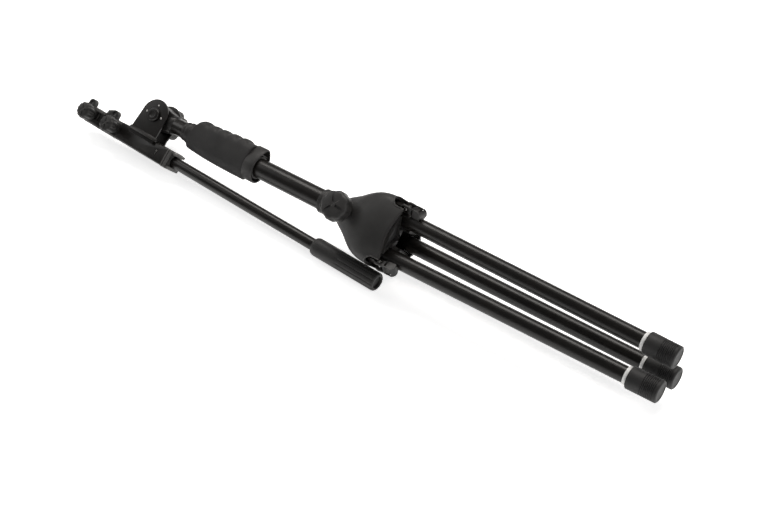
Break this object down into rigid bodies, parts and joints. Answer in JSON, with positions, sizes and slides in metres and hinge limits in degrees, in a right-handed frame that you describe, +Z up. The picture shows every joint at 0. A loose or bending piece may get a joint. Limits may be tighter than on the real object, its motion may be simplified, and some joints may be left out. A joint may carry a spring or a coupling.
{
  "type": "folding microphone boom stand",
  "caption": "Low tripod microphone stand with a telescoping boom and counterweight, folded flat and lying down.",
  "frame": {"origin": "bottom centre of the bounding box of the folded, lying stand", "axes": "+X along the mast toward the feet, +Z up from the floor it lies on"},
  "size_m": [0.8684, 0.0967, 0.0966],
  "materials": {
    "black_powder_coat": "satin",
    "black_plastic": "moulded",
    "black_rubber": "matte",
    "grey_plastic": "moulded",
    "bright_steel": "brushed",
    "white_plastic": "gloss",
    "cast_metal": "satin",
    "weight_iron": "matte coat"
  },
  "bodies": {
    "hub": {"hub_shell": "black_plastic", "hub_core": "black_plastic", "hub_end_ring": "black_plastic", "leg_1_pin": "bright_steel", "leg_2_pin": "bright_steel", "leg_3_pin": "bright_steel"},
    "hub_knob": {"hub_knob_cap": "grey_plastic", "hub_knob_stud": "bright_steel"},
    "mast": {"mast_tube": "black_powder_coat", "mast_stop_ring": "black_powder_coat", "clutch_housing": "black_plastic", "palm_grip": "black_rubber", "clutch_top_ring": "black_plastic", "lever_pin": "bright_steel"},
    "clutch_lever": {"lever_plate": "black_plastic", "lever_grip": "black_rubber"},
    "clutch_bush": {"clutch_bush": "black_plastic"},
    "inner_mast": {"inner_mast_tube": "black_powder_coat", "mast_head": "cast_metal"},
    "boom_block": {"boom_block_box": "black_powder_coat", "ear_near": "black_powder_coat", "ear_far": "black_powder_coat", "tilt_bolt": "bright_steel", "ear_rivet_1": "bright_steel", "ear_rivet_2": "bright_steel", "ear_rivet_3": "bright_steel", "block_end_cap": "grey_plastic", "rod_clamp_body": "cast_metal"},
    "tilt_knob": {"tilt_knob": "grey_plastic"},
    "rod_clamp_knob": {"rod_clamp_knob_cap": "grey_plastic", "rod_clamp_knob_stud": "bright_steel"},
    "boom_rod": {"boom_rod_tube": "black_powder_coat", "counterweight": "weight_iron", "tip_clamp_body": "cast_metal"},
    "tip_clamp_knob": {"tip_clamp_knob_cap": "grey_plastic", "tip_clamp_knob_stud": "bright_steel"},
    "inner_rod": {"inner_rod_tube": "black_powder_coat", "mic_thread": "bright_steel"},
    "leg_1": {"leg_1_tube": "black_powder_coat", "leg_1_bracket": "cast_metal", "leg_1_ring": "white_plastic", "leg_1_foot": "black_rubber"},
    "leg_2": {"leg_2_tube": "black_powder_coat", "leg_2_bracket": "cast_metal", "leg_2_ring": "white_plastic", "leg_2_foot": "black_rubber"},
    "leg_3": {"leg_3_tube": "black_powder_coat", "leg_3_bracket": "cast_metal", "leg_3_ring": "white_plastic", "leg_3_foot": "black_rubber"}
  },
  "joints": [
    {"name": "hub_knob_turn", "type": "hinge", "parent": "hub", "child": "hub_knob", "pos_m": [0.00515, -0.01206, 0.07211], "axis": [0, -0.6776, 0.7354], "continuous": true},
    {"name": "mast_slide", "type": "slide", "parent": "hub", "child": "mast", "axis": [-1, 0, 0], "range_m": [0, 0.036]},
    {"name": "leg_1_fold", "type": "hinge", "parent": "hub", "child": "leg_1", "pos_m": [0.08265, 0.01994, 0.0904], "axis": [0, -0.9606, 0.278], "range_deg": [0, 68]},
    {"name": "leg_2_fold", "type": "hinge", "parent": "hub", "child": "leg_2", "pos_m": [0.08265, -0.03251, 0.03999], "axis": [0, 0.2396, -0.9709], "range_deg": [0, 68]},
    {"name": "leg_3_fold", "type": "hinge", "parent": "hub", "child": "leg_3", "pos_m": [0.08265, 0.03737, 0.01977], "axis": [0, 0.721, 0.6929], "range_deg": [0, 68]},
    {"name": "clutch_squeeze", "type": "hinge", "parent": "mast", "child": "clutch_lever", "pos_m": [-0.24485, 0.02106, 0.06184], "axis": [0, 0.6776, -0.7354], "range_deg": [0, 2.2], "stiffness_Nm_per_rad": 8, "springref_deg": -1.15},
    {"name": "mast_turn", "type": "hinge", "parent": "mast", "child": "clutch_bush", "pos_m": [-0.26685, 0.00826, 0.05005], "axis": [1, 0, 0], "range_deg": [0, 58]},
    {"name": "mast_extend", "type": "slide", "parent": "clutch_bush", "child": "inner_mast", "axis": [-1, 0, 0], "range_m": [0, 0.2]},
    {"name": "boom_tilt", "type": "hinge", "parent": "inner_mast", "child": "boom_block", "pos_m": [-0.31385, 0.00826, 0.05005], "axis": [0, 0.6776, -0.7354], "range_deg": [0, 135]},
    {"name": "tilt_knob_turn", "type": "hinge", "parent": "boom_block", "child": "tilt_knob", "pos_m": [-0.31385, 0.02521, 0.03166], "axis": [0, -0.6776, 0.7354], "continuous": true},
    {"name": "rod_clamp_turn", "type": "hinge", "parent": "boom_block", "child": "rod_clamp_knob", "pos_m": [-0.36778, -0.03338, 0.03887], "axis": [0, -0.6776, 0.7354], "continuous": true},
    {"name": "rod_slide", "type": "slide", "parent": "boom_block", "child": "boom_rod", "axis": [-0.9991, 0.0304, 0.028], "range_m": [0, 0.22]},
    {"name": "tip_clamp_turn", "type": "hinge", "parent": "boom_rod", "child": "tip_clamp_knob", "pos_m": [-0.41274, -0.03201, 0.04013], "axis": [0, -0.6776, 0.7354], "continuous": true},
    {"name": "tip_slide", "type": "slide", "parent": "boom_rod", "child": "inner_rod", "axis": [-0.9991, 0.0304, 0.028], "range_m": [0, 0.24]}
  ],
  "couplings": [
    {"joint": "leg_2_fold", "follows": "leg_1_fold", "ratio": 1},
    {"joint": "leg_3_fold", "follows": "leg_1_fold", "ratio": 1}
  ]
}
